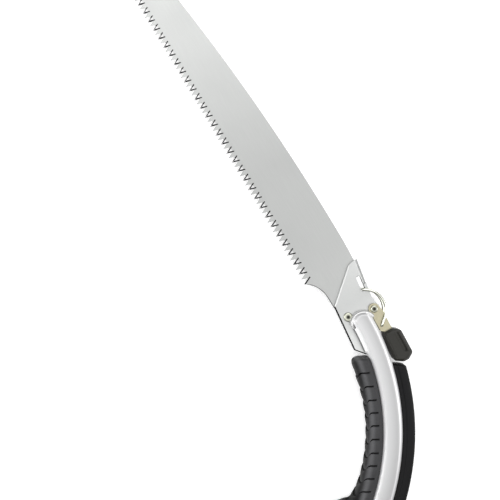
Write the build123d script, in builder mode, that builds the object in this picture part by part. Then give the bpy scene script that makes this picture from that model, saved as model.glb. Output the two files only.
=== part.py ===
"""Pull-stroke pruning saw with a quick-change blade.

The saw lies on its side. Local coordinates run from the last tooth's tip at the heel: u along the
tooth line towards the handle, v towards the spine, and Z across the blade, whose mid-plane is Z = 0.
The row's origin is the centre of the lanyard hole near the butt.
"""

from build123d import *
from math import cos, radians, sin
import os

# Handle: one circular arc. Angles are measured round its centre, from the spine direction to the butt.
ARC_CENTRE = Vector(44.2, -155.8)
HOLE_RADIUS = 180.0
TUBE_RADIUS = 179.5
TUBE_WIDTH = 16.0
TUBE_DEPTH = 21.0
TUBE_WALL = 2.0
TUBE_CORNER = 4.2
TUBE_END_ANGLE = 61.0
LANYARD_ANGLE = 49.3
LANYARD_BORE_R = 2.8
TUBE_INNER_SIDE = TUBE_RADIUS - TUBE_WIDTH / 2
TUBE_OUTER_SIDE = TUBE_RADIUS + TUBE_WIDTH / 2

# Blade.
BLADE_THICKNESS = 1.3
TOOTH_PITCH = 4.477
TOOTH_PITCH_FALL = 0.0092
TOOTH_COUNT = 73
TOOTH_TIP_V = -1.3
TOOTH_HEIGHT = 4.6
TOOTH_FRONT = 2.1
TOOTH_BACK = 1.45
SPINE_V = 43.55
SPINE_BEND_U = -25.6
SPINE_RADIUS = 1724.0
SPINE_END_U = -293.0

# Head: two cheeks folded from one sheet along the spine.
SHEET = 2.0
BLADE_GAP = 2.0
CHEEK_OUT = BLADE_GAP / 2 + SHEET
FOLD_FRONT_U = 4.3
FOLD_END_U = 24.0
FOLD_FRONT_V = 45.4
FOLD_SLOPE = 0.18
SLOT_WIDTH = 3.6
SLOT_REAR = Vector(27.06, 37.02)
SLOT_ANGLE = 172.0
SLOT_TRAVEL = 9.6

# Latch pivots, with the lever closed.
HOOK_PIN = Vector(40.1, 15.3)
LEVER_PIVOT = Vector(44.8, 36.2)
BAIL_PIVOT = Vector(59.2, 34.5)
CROSSBAR = Vector(27.0, 36.6)
HOOK_PIN_R = 2.5
HOOK_CLEARANCE = 0.08
LEVER_PIVOT_R = 2.0
RUNNING = 0.05
EAR_R = 5.0
WIRE_R = 1.1

# Stack across the latch, from the cheek outwards.
WASHER = 0.4
LEVER_SHEET = 1.6
LEVER_IN = CHEEK_OUT + WASHER + 0.1
LEVER_OUT = LEVER_IN + LEVER_SHEET
ARM_Z = LEVER_OUT + 0.3 + WIRE_R

# Grips.
GRIP_DEPTH = 26.0
GRIP_INNER_R = 157.5
GRIP_START_ANGLE = 9.6
GRIP_END_ANGLE = 60.0
STRIP_OUTER_R = 197.5
STRIP_DEPTH = 19.0
STRIP_START_ANGLE = 14.3
STRIP_END_ANGLE = 60.5
SCREW_ANGLES = (18.0, 31.0, 44.0)
PEG_ANGLES = (24.5, 37.5, 55.0)
SCREW_R = 2.0
PEG_R = 2.4
CORE_INNER_R = 163.0
CORE_DEPTH = 13.0
BUTT_PIN_ANGLE = 58.6
BUTT_PIN_R = 1.5


def on_arc(radius, angle):
    """Local point at this radius and angle of the handle's arc."""
    turn = radians(angle)
    return ARC_CENTRE + Vector(radius * sin(turn), radius * cos(turn))


HEEL = -on_arc(HOLE_RADIUS, LANYARD_ANGLE)
SAW = Plane(origin=(HEEL.X, HEEL.Y, 0))
ARC_POINT = HEEL + ARC_CENTRE
ARC_AXIS = Axis((ARC_POINT.X, ARC_POINT.Y, 0), (0, 0, -1))


def arc_section(angle):
    """Plane across the handle: X is the radius from the arc's centre, Y is the saw's Z."""
    turn = radians(angle)
    origin = (ARC_POINT.X, ARC_POINT.Y, 0)
    return Plane(origin=origin, x_dir=(sin(turn), cos(turn), 0), z_dir=(cos(turn), -sin(turn), 0))


def radial_plane(radius, angle):
    """Plane square to the radius, its normal pointing away from the arc's centre."""
    turn = radians(angle)
    point = HEEL + on_arc(radius, angle)
    return Plane(origin=(point.X, point.Y, 0), x_dir=(0, 0, 1), z_dir=(sin(turn), cos(turn), 0))


def local(point, height=0.0):
    """Plane parallel to the saw's side, with its origin at a local point."""
    spot = HEEL + point
    return Plane(origin=(spot.X, spot.Y, height))


def spine_line(u):
    """Outer edge of the folded sheet along the spine."""
    return FOLD_FRONT_V - FOLD_SLOPE * (u - FOLD_FRONT_U)


def finish(part, name):
    part.label = name
    export_step(part, f"parts/{name}.step")


os.makedirs("parts", exist_ok=True)

# ---------------------------------------------------------------- blade
spine_centre_v = SPINE_V - SPINE_RADIUS


def blade_spine(u):
    return spine_centre_v + (SPINE_RADIUS**2 - (u - SPINE_BEND_U) ** 2) ** 0.5


# The pitch falls evenly from the heel to the tip, and each tooth is scaled to its own pitch.
teeth = []
for count in range(TOOTH_COUNT):
    tip = -count * (TOOTH_PITCH - TOOTH_PITCH_FALL * count / 2)
    tooth_scale = 1 - TOOTH_PITCH_FALL * count / TOOTH_PITCH
    gullet_v = TOOTH_TIP_V + TOOTH_HEIGHT * tooth_scale
    if count:
        teeth.append((tip + TOOTH_BACK * tooth_scale, gullet_v))
    teeth.append((tip, TOOTH_TIP_V))
    if count < TOOTH_COUNT - 1:
        teeth.append((tip - TOOTH_FRONT * tooth_scale, gullet_v))
nose = (-307.4, 3.9)
hook_r = HOOK_PIN_R + HOOK_CLEARANCE
notch_floor = 33.5
horn_u = 28.5

with BuildPart() as blade:
    with BuildSketch(SAW):
        with BuildLine():
            Polyline(*teeth, nose, (-300.7, 16.0), (-297.7, 20.0), (SPINE_END_U, blade_spine(SPINE_END_U)))
            spine_mid_u = (SPINE_END_U + SPINE_BEND_U) / 2
            ThreePointArc(
                (SPINE_END_U, blade_spine(SPINE_END_U)),
                (spine_mid_u, blade_spine(spine_mid_u)),
                (SPINE_BEND_U, SPINE_V),
            )
            Polyline(
                (SPINE_BEND_U, SPINE_V),
                (-12.0, 43.5),
                (4.0, 42.8),
                (16.6, 40.7),
                (16.6, notch_floor),
                (horn_u, notch_floor),
                (horn_u, 39.6),
                (29.6, 40.4),
                (31.4, 40.4),
                (35.0, 38.6),
                (49.4, 21.2),
                (50.4, 17.7),
                (48.4, 12.7),
                (45.0, 8.9),
                (43.2, 9.2),
                (HOOK_PIN.X + hook_r, HOOK_PIN.Y),
            )
            ThreePointArc(
                (HOOK_PIN.X + hook_r, HOOK_PIN.Y),
                (HOOK_PIN.X, HOOK_PIN.Y + hook_r),
                (HOOK_PIN.X - hook_r, HOOK_PIN.Y),
            )
            Polyline((HOOK_PIN.X - hook_r, HOOK_PIN.Y), (34.5, 9.7), (17.0, 9.3))
            ThreePointArc((17.0, 9.3), (6.3, 5.4), (0, TOOTH_TIP_V))
        make_face()
        with Locations((21.3, 24.0)):
            Circle(2.25, mode=Mode.SUBTRACT)
        with Locations((36.3, 24.0)):
            Circle(2.5, mode=Mode.SUBTRACT)
    extrude(amount=BLADE_THICKNESS / 2, both=True)
finish(blade.part, "blade")

# ---------------------------------------------------------------- head bracket
fold_drop = CHEEK_OUT * (1 + FOLD_SLOPE**2) ** 0.5
fold_start = HEEL + Vector(FOLD_FRONT_U, spine_line(FOLD_FRONT_U))
fold_plane = Plane(
    origin=(fold_start.X, fold_start.Y, 0), x_dir=(0, 0, -1), z_dir=(1, -FOLD_SLOPE, 0)
)
slot_forward = Vector(cos(radians(SLOT_ANGLE)), sin(radians(SLOT_ANGLE)))
# Edges of the cheeks that are broken: start, end, width of the break and its depth.
CHEEK_BREAKS = (
    ((4.6, 37.2), (27.6, 10.1), 0.9, 0.35),
    ((27.0, 9.98), (65.5, 6.0), 1.0, 1.0),
    ((65.5, 6.0), (73.0, 12.2), 1.0, 1.0),
)
slot_middle = SLOT_REAR + slot_forward * (SLOT_TRAVEL / 2)

with BuildPart() as head_bracket:
    with BuildSketch(SAW.offset(BLADE_GAP / 2)):
        with BuildLine():
            FilletPolyline(
                (FOLD_FRONT_U - 0.55, spine_line(FOLD_FRONT_U - 0.55) - fold_drop),
                (FOLD_END_U, spine_line(FOLD_END_U) - fold_drop),
                (FOLD_END_U, spine_line(FOLD_END_U)),
                (27.5, 41.1),
                (36.0, 39.6),
                (43.0, 40.8),
                (49.6, 36.2),
                (50.2, 29.2),
                (72.5, 25.0),
                (73.0, 12.2),
                (65.5, 6.0),
                (27.8, 9.9),
                (4.6, 37.2),
                radius=(0, 0, 0, 2.0, 4.0, 2.0, 2.0, 1.0, 1.0, 0.5, 1.0, 0.8, 6.0),
                close=True,
            )
        make_face()
        with Locations((LEVER_PIVOT.X, LEVER_PIVOT.Y)):
            Circle(EAR_R)
    extrude(amount=SHEET)
    mirror(about=SAW)
    with BuildSketch(fold_plane):
        with Locations((0, -CHEEK_OUT)):
            Circle(CHEEK_OUT)
            Circle(BLADE_GAP / 2, mode=Mode.SUBTRACT)
        with Locations((0, -2 * CHEEK_OUT)):
            Rectangle(4 * CHEEK_OUT, 2 * CHEEK_OUT, mode=Mode.SUBTRACT)
    extrude(amount=(FOLD_END_U - FOLD_FRONT_U) * (1 + FOLD_SLOPE**2) ** 0.5)
    for start, end, width, depth in CHEEK_BREAKS:
        run = Vector(*end) - Vector(*start)
        with BuildSketch(Plane(origin=HEEL + Vector(*start), x_dir=(0, 0, 1), z_dir=run)):
            with BuildLine():
                Polyline(
                    (CHEEK_OUT + 0.1 * depth, -1.1 * width), (CHEEK_OUT - 1.1 * depth, 0.1 * width),
                    (CHEEK_OUT + 0.1 * depth, 0.1 * width), close=True,
                )
            make_face()
            mirror(about=Plane.YZ)
        extrude(amount=run.length, mode=Mode.SUBTRACT)
    with BuildSketch(local(slot_middle)):
        SlotCenterToCenter(SLOT_TRAVEL, SLOT_WIDTH, rotation=SLOT_ANGLE)
    extrude(amount=CHEEK_OUT + 1, both=True, mode=Mode.SUBTRACT)
    with BuildSketch(local(HOOK_PIN)):
        Circle(HOOK_PIN_R + 0.03)
    extrude(amount=CHEEK_OUT + 1, both=True, mode=Mode.SUBTRACT)
    with BuildSketch(local(LEVER_PIVOT)):
        Circle(LEVER_PIVOT_R + 0.03)
    extrude(amount=CHEEK_OUT + 1, both=True, mode=Mode.SUBTRACT)
finish(head_bracket.part, "head_bracket")

# Plate that holds the cheeks' tails apart inside the tube.
with BuildPart() as spacer_plate:
    with BuildSketch(SAW):
        with BuildLine():
            Polyline((53.0, 8.6), (64.8, 7.4), (71.4, 13.0), (71.2, 23.6), (53.0, 27.0), close=True)
        make_face()
    extrude(amount=BLADE_GAP / 2 - 0.02, both=True)
finish(spacer_plate.part, "spacer_plate")


# ---------------------------------------------------------------- rivets
RIVET_DIMPLE_R = 1.0
RIVET_DIMPLE_DEPTH = 1.0


def rivet(name, centre, shank_r, head_r, head_height, under_head):
    """Rivet across the head: a shank, a low domed head on each side and a dimple in the near one."""
    with BuildPart() as body:
        with BuildSketch(local(centre)):
            Circle(shank_r)
        extrude(amount=under_head, both=True)
        with BuildSketch(local(centre, under_head)):
            Circle(head_r)
        extrude(amount=head_height)
        fillet(body.edges().group_by(Axis.Z)[-1], head_height * 0.8)
        with BuildSketch(local(centre, -under_head)):
            Circle(head_r)
        extrude(amount=-head_height)
        fillet(body.edges().group_by(Axis.Z)[0], head_height * 0.8)
        with BuildSketch(local(centre, under_head + head_height)):
            Circle(RIVET_DIMPLE_R)
        extrude(amount=-RIVET_DIMPLE_DEPTH, mode=Mode.SUBTRACT)
    finish(body.part, name)


rivet("hook_pin", HOOK_PIN, HOOK_PIN_R, 3.7, 1.5, CHEEK_OUT + 0.02)
rivet("lever_pivot_rivet", LEVER_PIVOT, LEVER_PIVOT_R, 3.0, 1.3, LEVER_OUT + 0.1)

with BuildPart() as lever_washers:
    with BuildSketch(local(LEVER_PIVOT, CHEEK_OUT)):
        Circle(4.2)
        Circle(LEVER_PIVOT_R + 0.03, mode=Mode.SUBTRACT)
    extrude(amount=WASHER)
    mirror(about=SAW)
finish(lever_washers.part, "lever_washers")

# ---------------------------------------------------------------- lever
web_front_u = 51.6
tail_end_u = 87.0
lever_pin = Vector(78.0, 36.4)
lever_pin_r = 1.25
lever_pin_end = 6.6

with BuildPart() as lever_plate:
    with BuildSketch(SAW):
        with BuildLine():
            Polyline(
                (LEVER_PIVOT.X, 32.2),
                (62.5, 31.7),
                (64.7, 34.2),
                (tail_end_u, 34.2),
                (tail_end_u, 40.0),
                (64.7, 40.6),
                (54.4, 41.1),
                (49.6, 41.7),
                (LEVER_PIVOT.X, 40.6),
                close=True,
            )
        make_face()
        with Locations((LEVER_PIVOT.X, LEVER_PIVOT.Y)):
            Circle(4.4)
    extrude(amount=LEVER_OUT, both=True)
    with BuildSketch(SAW):
        with BuildLine():
            Polyline(
                (38.0, 28.0),
                (tail_end_u + 2, 28.0),
                (tail_end_u + 2, 38.4),
                (64.7, 39.0),
                (web_front_u, 39.8),
                (web_front_u, 46.0),
                (38.0, 46.0),
                close=True,
            )
        make_face()
    extrude(amount=LEVER_IN, both=True, mode=Mode.SUBTRACT)
    with BuildSketch(local(LEVER_PIVOT)):
        Circle(LEVER_PIVOT_R + RUNNING)
    extrude(amount=LEVER_OUT + 1, both=True, mode=Mode.SUBTRACT)
    with BuildSketch(local(BAIL_PIVOT)):
        Circle(WIRE_R + RUNNING)
    extrude(amount=LEVER_OUT + 1, both=True, mode=Mode.SUBTRACT)
    with BuildSketch(local(lever_pin)):
        Circle(lever_pin_r + 0.02)
    extrude(amount=LEVER_OUT + 1, both=True, mode=Mode.SUBTRACT)
finish(lever_plate.part, "lever_plate")

lever_grip_half = 8.5

with BuildPart() as lever_grip:
    with BuildSketch(SAW):
        with BuildLine():
            FilletPolyline(
                (64.7, 33.0),
                (70.0, 30.6),
                (88.2, 29.0),
                (92.4, 35.0),
                (92.7, 39.4),
                (89.6, 44.9),
                (69.4, 45.8),
                (65.0, 40.6),
                radius=(2.4, 4.0, 2.4, 3.0, 3.5, 3.5, 3.5, 4.0),
                close=True,
            )
        make_face()
    extrude(amount=lever_grip_half, both=True)
    chamfer(lever_grip.edges().group_by(Axis.Z)[-1], 1.5)
    chamfer(lever_grip.edges().group_by(Axis.Z)[0], 1.5)
    with BuildSketch(SAW):
        with BuildLine():
            Polyline((60, 34.1), (87.1, 34.1), (87.1, 40.1), (64.7, 40.75), (60, 41), close=True)
        make_face()
    extrude(amount=LEVER_OUT + 0.05, both=True, mode=Mode.SUBTRACT)
    with BuildSketch(local(lever_pin, -lever_grip_half)):
        Circle(lever_pin_r + 0.02)
    extrude(amount=lever_grip_half + lever_pin_end, mode=Mode.SUBTRACT)
finish(lever_grip.part, "lever_grip")

# Spring pin driven in from the far side, through the lever's two cheeks.
with BuildPart() as lever_grip_pin:
    with BuildSketch(local(lever_pin, -lever_grip_half + 0.3)):
        Circle(lever_pin_r)
        Circle(lever_pin_r - 0.5, mode=Mode.SUBTRACT)
    extrude(amount=lever_grip_half + lever_pin_end - 0.4)
finish(lever_grip_pin.part, "lever_grip_pin")

# ---------------------------------------------------------------- bail
bail_front = Vector(34.0, 45.8)
bail_rear = Vector(49.5, 45.8)
bail_end_z = LEVER_IN - 0.2


def saw_point(point, height):
    spot = HEEL + point
    return (spot.X, spot.Y, height)


with BuildPart() as bail:
    with BuildLine() as bail_path:
        FilletPolyline(
            saw_point(BAIL_PIVOT, bail_end_z),
            saw_point(BAIL_PIVOT, ARM_Z),
            saw_point(bail_rear, ARM_Z),
            saw_point(bail_front, ARM_Z),
            saw_point(CROSSBAR, ARM_Z),
            saw_point(CROSSBAR, -ARM_Z),
            saw_point(bail_front, -ARM_Z),
            saw_point(bail_rear, -ARM_Z),
            saw_point(BAIL_PIVOT, -ARM_Z),
            saw_point(BAIL_PIVOT, -bail_end_z),
            radius=(1.3, 15.0, 15.0, 1.6, 1.6, 15.0, 15.0, 1.3),
        )
    with BuildSketch(local(BAIL_PIVOT, bail_end_z)):
        Circle(WIRE_R)
    sweep(path=bail_path.wires()[0])
finish(bail.part, "bail")

# ---------------------------------------------------------------- handle tube
nose_low = (45.6, 15.0)
nose_front = (41.7, 25.0)
nose_high = (50.3, 32.6)
nose_round = 3.2
bore_start_angle = 3.6

with BuildPart() as handle_tube:
    with BuildSketch(arc_section(-3.0)):
        with Locations((TUBE_RADIUS, 0)):
            RectangleRounded(TUBE_WIDTH, TUBE_DEPTH, TUBE_CORNER)
    revolve(axis=ARC_AXIS, revolution_arc=TUBE_END_ANGLE + 3.0)
    with BuildSketch(SAW):
        with BuildLine():
            Polyline(nose_high, (50.3, 37), (20, 37), (20, 10), (45.6, 10), nose_low)
            ThreePointArc(nose_low, nose_front, nose_high)
        make_face()
    extrude(amount=TUBE_DEPTH, both=True, mode=Mode.SUBTRACT)
    nose_face = handle_tube.faces().sort_by(Axis.X)[0]
    fillet(nose_face.edges(), nose_round)
    with BuildSketch(arc_section(bore_start_angle)):
        with Locations((TUBE_RADIUS, 0)):
            RectangleRounded(
                TUBE_WIDTH - 2 * TUBE_WALL, TUBE_DEPTH - 2 * TUBE_WALL, TUBE_CORNER - TUBE_WALL
            )
    revolve(axis=ARC_AXIS, revolution_arc=TUBE_END_ANGLE + 1 - bore_start_angle, mode=Mode.SUBTRACT)
    with BuildSketch(SAW):
        with BuildLine():
            Polyline(
                (35, 40), (50.5, 40), (50.5, 29.4), (72.8, 25.2), (73.2, 12), (73.2, 0), (35, 0), close=True
            )
        make_face()
    extrude(amount=CHEEK_OUT + 0.08, both=True, mode=Mode.SUBTRACT)
    for angle in SCREW_ANGLES:
        with BuildSketch(radial_plane(TUBE_RADIUS, angle)):
            Circle(SCREW_R + 0.15)
        extrude(amount=TUBE_WIDTH, both=True, mode=Mode.SUBTRACT)
    for angle in PEG_ANGLES:
        with BuildSketch(radial_plane(TUBE_RADIUS, angle)):
            Circle(PEG_R + 0.1)
        extrude(amount=TUBE_WIDTH, mode=Mode.SUBTRACT)
    with BuildSketch(local(on_arc(HOLE_RADIUS, LANYARD_ANGLE))):
        Circle(LANYARD_BORE_R + 0.83)
    extrude(amount=TUBE_DEPTH, both=True, mode=Mode.SUBTRACT)
    with BuildSketch(local(on_arc(TUBE_RADIUS, BUTT_PIN_ANGLE))):
        Circle(BUTT_PIN_R + 0.02)
    extrude(amount=TUBE_DEPTH, both=True, mode=Mode.SUBTRACT)
finish(handle_tube.part, "handle_tube")

# ---------------------------------------------------------------- welds
bead_leg = 2.9
bead_width = 3.4
bead_start_angle = 0.9
bead_end_angle = 9.2
blob = (46.8, 17.5)
blob_r = 2.8

with BuildPart() as weld_beads:
    with BuildSketch(arc_section(bead_start_angle)):
        with BuildLine():
            low = (TUBE_INNER_SIDE - bead_leg, CHEEK_OUT)
            corner = (TUBE_INNER_SIDE, CHEEK_OUT)
            high = (TUBE_INNER_SIDE, CHEEK_OUT + bead_width)
            Polyline(low, corner, high)
            bulge = (TUBE_INNER_SIDE - bead_leg * 0.62, CHEEK_OUT + bead_width * 0.62)
            ThreePointArc(high, bulge, low)
        make_face()
    revolve(axis=ARC_AXIS, revolution_arc=bead_end_angle - bead_start_angle)
    with Locations(local(Vector(*blob), CHEEK_OUT)):
        Sphere(blob_r)
    with BuildSketch(SAW):
        with Locations(blob):
            Rectangle(4 * blob_r, 4 * blob_r)
    extrude(amount=CHEEK_OUT, both=True, mode=Mode.SUBTRACT)
    add(handle_tube.part, mode=Mode.SUBTRACT)
    mirror(about=SAW)
finish(weld_beads.part, "weld_beads")


# ---------------------------------------------------------------- front grip
def arc_band(inner_r, outer_r, start, end):
    """Wires of a band between two radii of the handle's arc, for use inside a BuildLine."""
    middle = (start + end) / 2
    ThreePointArc(on_arc(outer_r, start), on_arc(outer_r, middle), on_arc(outer_r, end))
    Line(on_arc(outer_r, end), on_arc(inner_r, end))
    ThreePointArc(on_arc(inner_r, end), on_arc(inner_r, middle), on_arc(inner_r, start))
    Line(on_arc(inner_r, start), on_arc(outer_r, start))


# The tube's outer shape with a little clearance, cut out of both grips.
grip_fit = 0.02

with BuildPart() as tube_envelope:
    with BuildSketch(arc_section(-3.0)):
        with Locations((TUBE_RADIUS, 0)):
            RectangleRounded(
                TUBE_WIDTH + 2 * grip_fit, TUBE_DEPTH + 2 * grip_fit, TUBE_CORNER + grip_fit
            )
    revolve(axis=ARC_AXIS, revolution_arc=TUBE_END_ANGLE + 10)

flare_start_angle = 49.6
grip_lip_r = TUBE_INNER_SIDE + 0.2

with BuildPart() as front_grip_core:
    with BuildSketch(SAW):
        with BuildLine():
            arc_band(CORE_INNER_R, TUBE_INNER_SIDE - 0.02, 13.0, 57.0)
        make_face()
    extrude(amount=CORE_DEPTH / 2, both=True)
    for angle in SCREW_ANGLES:
        with BuildSketch(radial_plane(CORE_INNER_R + 1.5, angle)):
            Circle(3.0)
        extrude(amount=20, mode=Mode.SUBTRACT)
finish(front_grip_core.part, "front_grip_core")

with BuildPart() as front_grip:
    with BuildSketch(SAW):
        with BuildLine():
            start_low = on_arc(GRIP_INNER_R, GRIP_START_ANGLE + 0.6)
            flare_low = on_arc(GRIP_INNER_R, flare_start_angle)
            grip_middle = (GRIP_START_ANGLE + flare_start_angle) / 2
            ThreePointArc(start_low, on_arc(GRIP_INNER_R, grip_middle), flare_low)
            Polyline(
                flare_low,
                on_arc(151.0, 52.4),
                on_arc(140.0, 54.4),
                on_arc(135.0, 56.4),
                on_arc(135.5, 58.4),
                on_arc(141.0, GRIP_END_ANGLE),
                on_arc(grip_lip_r, GRIP_END_ANGLE),
            )
            lip_middle = (GRIP_START_ANGLE + GRIP_END_ANGLE) / 2
            ThreePointArc(
                on_arc(grip_lip_r, GRIP_END_ANGLE),
                on_arc(grip_lip_r, lip_middle),
                on_arc(grip_lip_r, GRIP_START_ANGLE + 0.3),
            )
            Polyline(
                on_arc(grip_lip_r, GRIP_START_ANGLE + 0.3),
                on_arc(161.0, GRIP_START_ANGLE - 0.9),
                on_arc(158.6, GRIP_START_ANGLE - 0.4),
                start_low,
            )
        make_face()
    extrude(amount=GRIP_DEPTH / 2, both=True)
    chamfer(front_grip.edges().group_by(Axis.Z)[-1] + front_grip.edges().group_by(Axis.Z)[0], 3.0)
    add(tube_envelope.part, mode=Mode.SUBTRACT)
    with BuildSketch(SAW):
        with BuildLine():
            arc_band(CORE_INNER_R - 0.02, TUBE_INNER_SIDE + 1, 12.98, 57.02)
        make_face()
    extrude(amount=CORE_DEPTH / 2 + 0.02, both=True, mode=Mode.SUBTRACT)
    with BuildSketch(SAW):
        with BuildLine():
            Polyline((60, 5.9), (65.5, 5.9), (73.2, 12.2), (73.2, 16), (60, 16), close=True)
        make_face()
    extrude(amount=CHEEK_OUT + 0.1, both=True, mode=Mode.SUBTRACT)
finish(front_grip.part, "front_grip")

insert_bottom_r = CORE_INNER_R + 1.6
insert_r = 2.95
insert_tube_gap = 0.3

with BuildPart() as grip_inserts:
    for angle in SCREW_ANGLES:
        with BuildSketch(radial_plane(insert_bottom_r, angle)):
            Circle(insert_r)
            Circle(SCREW_R + 0.03, mode=Mode.SUBTRACT)
        extrude(amount=TUBE_INNER_SIDE - insert_tube_gap - insert_bottom_r)
finish(grip_inserts.part, "grip_inserts")

spacer_r = 3.4

with BuildPart() as tube_spacers:
    for angle in SCREW_ANGLES:
        with BuildSketch(radial_plane(TUBE_RADIUS, angle)):
            Circle(spacer_r)
            Circle(SCREW_R + 0.1, mode=Mode.SUBTRACT)
        extrude(amount=TUBE_WIDTH / 2 - TUBE_WALL - 0.06, both=True)
finish(tube_spacers.part, "tube_spacers")

screw_head_r = 3.6
screw_head_height = 2.2

with BuildPart() as grip_screws:
    for angle in SCREW_ANGLES:
        with BuildSketch(radial_plane(CORE_INNER_R + 2.5, angle)):
            Circle(SCREW_R)
        extrude(amount=TUBE_OUTER_SIDE - CORE_INNER_R - 2.5 + 0.1)
        with BuildSketch(radial_plane(TUBE_OUTER_SIDE + 0.05, angle)):
            Circle(screw_head_r)
        extrude(amount=screw_head_height)
        with BuildSketch(radial_plane(TUBE_OUTER_SIDE + 0.05 + screw_head_height, angle)):
            RegularPolygon(1.5, 6)
        extrude(amount=-1.3, mode=Mode.SUBTRACT)
finish(grip_screws.part, "grip_screws")

# ---------------------------------------------------------------- back strip
strip_lip_r = TUBE_OUTER_SIDE - 0.6
strip_bevel = 2.0

with BuildPart() as back_strip:
    with BuildSketch(SAW):
        with BuildLine():
            strip_middle = (STRIP_START_ANGLE + STRIP_END_ANGLE) / 2
            top_start = STRIP_START_ANGLE + strip_bevel
            top_end = STRIP_END_ANGLE - strip_bevel
            ThreePointArc(
                on_arc(strip_lip_r, STRIP_START_ANGLE),
                on_arc(strip_lip_r, strip_middle),
                on_arc(strip_lip_r, STRIP_END_ANGLE),
            )
            Polyline(
                on_arc(strip_lip_r, STRIP_END_ANGLE),
                on_arc(STRIP_OUTER_R - 5.0, STRIP_END_ANGLE),
                on_arc(STRIP_OUTER_R, top_end),
            )
            ThreePointArc(
                on_arc(STRIP_OUTER_R, top_end),
                on_arc(STRIP_OUTER_R, strip_middle),
                on_arc(STRIP_OUTER_R, top_start),
            )
            Polyline(
                on_arc(STRIP_OUTER_R, top_start),
                on_arc(STRIP_OUTER_R - 1.0, top_start - 0.5),
                on_arc(strip_lip_r, STRIP_START_ANGLE),
            )
        make_face()
    extrude(amount=STRIP_DEPTH / 2, both=True)
    chamfer(back_strip.edges().group_by(Axis.Z)[-1] + back_strip.edges().group_by(Axis.Z)[0], 2.0)
    add(tube_envelope.part, mode=Mode.SUBTRACT)
    for angle in SCREW_ANGLES:
        with BuildSketch(radial_plane(TUBE_OUTER_SIDE - 2, angle)):
            Circle(screw_head_r + 0.3)
        extrude(amount=screw_head_height + 2.4, mode=Mode.SUBTRACT)
    for angle in PEG_ANGLES:
        with BuildSketch(radial_plane(TUBE_OUTER_SIDE + 1, angle)):
            Circle(PEG_R)
        extrude(amount=-1 - TUBE_WALL - 1.5)
finish(back_strip.part, "back_strip")

# ---------------------------------------------------------------- butt
plug_width = TUBE_WIDTH - 2 * TUBE_WALL - 0.1
plug_depth = TUBE_DEPTH - 2 * TUBE_WALL - 0.1
plug_corner = TUBE_CORNER - TUBE_WALL - 0.05
cap_plug_angle = 56.8
cap_flange_angle = 1.0

with BuildPart() as butt_cap:
    with BuildSketch(arc_section(cap_plug_angle)):
        with Locations((TUBE_RADIUS, 0)):
            RectangleRounded(plug_width, plug_depth, plug_corner)
    revolve(axis=ARC_AXIS, revolution_arc=TUBE_END_ANGLE - cap_plug_angle + 0.02)
    with BuildSketch(arc_section(TUBE_END_ANGLE + 0.01)):
        with Locations((TUBE_RADIUS, 0)):
            RectangleRounded(TUBE_WIDTH, TUBE_DEPTH, TUBE_CORNER)
    revolve(axis=ARC_AXIS, revolution_arc=cap_flange_angle)
    with BuildSketch(local(on_arc(TUBE_RADIUS, BUTT_PIN_ANGLE))):
        Circle(BUTT_PIN_R + 0.02)
    extrude(amount=TUBE_DEPTH, both=True, mode=Mode.SUBTRACT)
finish(butt_cap.part, "butt_cap")

with BuildPart() as butt_cap_pin:
    with BuildSketch(local(on_arc(TUBE_RADIUS, BUTT_PIN_ANGLE))):
        Circle(BUTT_PIN_R)
    extrude(amount=TUBE_DEPTH / 2 - 0.1, both=True)
finish(butt_cap_pin.part, "butt_cap_pin")

sleeve_flange = 0.5

with BuildPart() as lanyard_sleeve:
    with BuildSketch(local(on_arc(HOLE_RADIUS, LANYARD_ANGLE))):
        Circle(LANYARD_BORE_R + 0.8)
    extrude(amount=TUBE_DEPTH / 2 + 0.02, both=True)
    with BuildSketch(local(on_arc(HOLE_RADIUS, LANYARD_ANGLE), TUBE_DEPTH / 2 + 0.02)):
        Circle(LANYARD_BORE_R + 1.3)
    extrude(amount=sleeve_flange)
    mirror(about=SAW)
    with BuildSketch(local(on_arc(HOLE_RADIUS, LANYARD_ANGLE))):
        Circle(LANYARD_BORE_R)
    extrude(amount=TUBE_DEPTH, both=True, mode=Mode.SUBTRACT)
finish(lanyard_sleeve.part, "lanyard_sleeve")
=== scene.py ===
import math

import bmesh
import bpy
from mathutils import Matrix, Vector, geometry


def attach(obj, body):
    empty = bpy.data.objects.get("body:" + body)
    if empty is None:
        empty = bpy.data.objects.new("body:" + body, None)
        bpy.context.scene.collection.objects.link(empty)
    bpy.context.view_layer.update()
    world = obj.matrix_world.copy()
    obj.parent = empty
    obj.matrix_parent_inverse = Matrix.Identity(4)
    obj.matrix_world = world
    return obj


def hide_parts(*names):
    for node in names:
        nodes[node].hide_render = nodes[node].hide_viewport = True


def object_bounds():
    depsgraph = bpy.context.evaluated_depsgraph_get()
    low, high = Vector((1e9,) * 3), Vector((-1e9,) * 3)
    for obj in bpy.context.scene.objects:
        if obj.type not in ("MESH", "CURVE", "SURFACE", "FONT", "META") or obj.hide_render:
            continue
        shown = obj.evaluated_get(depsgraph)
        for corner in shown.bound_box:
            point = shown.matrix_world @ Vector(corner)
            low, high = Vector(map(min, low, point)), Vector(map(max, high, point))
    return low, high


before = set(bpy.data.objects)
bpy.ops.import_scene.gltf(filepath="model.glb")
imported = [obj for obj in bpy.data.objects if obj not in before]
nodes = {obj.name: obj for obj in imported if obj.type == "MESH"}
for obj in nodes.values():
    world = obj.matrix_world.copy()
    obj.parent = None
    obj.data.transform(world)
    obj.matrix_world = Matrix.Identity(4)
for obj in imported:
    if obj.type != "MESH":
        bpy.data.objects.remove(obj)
cad_low, cad_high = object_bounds()
MM = 0.001

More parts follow.
